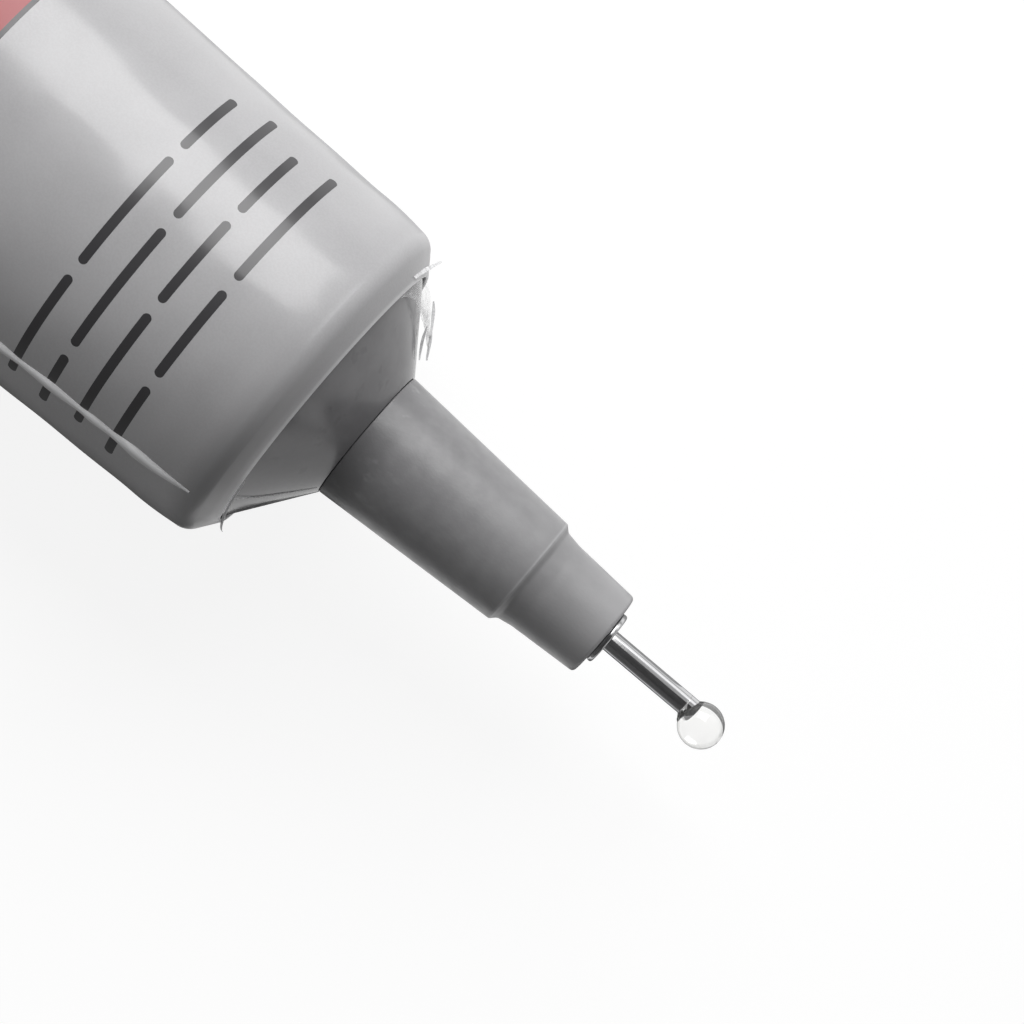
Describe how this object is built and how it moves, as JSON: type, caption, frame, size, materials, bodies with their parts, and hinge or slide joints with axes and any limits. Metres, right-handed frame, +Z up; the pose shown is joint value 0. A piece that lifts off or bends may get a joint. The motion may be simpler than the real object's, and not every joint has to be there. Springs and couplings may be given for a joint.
{
  "type": "glue tube",
  "caption": "Soft squeeze tube of clear multipurpose glue with a conical shoulder, a screw-on stepped nozzle, a steel dispensing needle and a drop of glue on its tip.",
  "frame": {"origin": "on the table under the middle of the tube's length and width, as it lies on its flat side", "axes": "+X along the tube from its sealed tail to the needle, +Y across the tail's width, +Z up from the table"},
  "size_m": [0.159, 0.0436, 0.0279],
  "materials": {
    "silver_laminate": "satin",
    "shoulder_plastic": "satin",
    "barrier_foil": "satin",
    "nozzle_plastic": "matte",
    "needle_steel": "polished",
    "clear_glue": "gloss",
    "clear_film": "gloss"
  },
  "bodies": {
    "tube": {"tube_sleeve": "silver_laminate", "shoulder_head": "shoulder_plastic", "barrier_insert": "barrier_foil", "foil_seal": "barrier_foil", "glue_fill": "clear_glue", "shoulder_film": "clear_film"},
    "nozzle_core": {"nozzle_glue": "clear_glue"},
    "nozzle": {"nozzle_body": "nozzle_plastic", "needle_tube": "needle_steel", "needle_collar": "needle_steel", "glue_drop": "clear_glue"}
  },
  "joints": [
    {"name": "nozzle_travel", "type": "slide", "parent": "tube", "child": "nozzle_core", "axis": [1, 0, 0], "range_m": [0, 0.006]},
    {"name": "nozzle_turn", "type": "hinge", "parent": "nozzle_core", "child": "nozzle", "pos_m": [0.04598, 0, 0.01397], "axis": [1, 0, 0], "range_deg": [0, 1080]}
  ],
  "couplings": [
    {"joint": "nozzle_turn", "follows": "nozzle_travel", "rad_per_m": 3141.6}
  ]
}
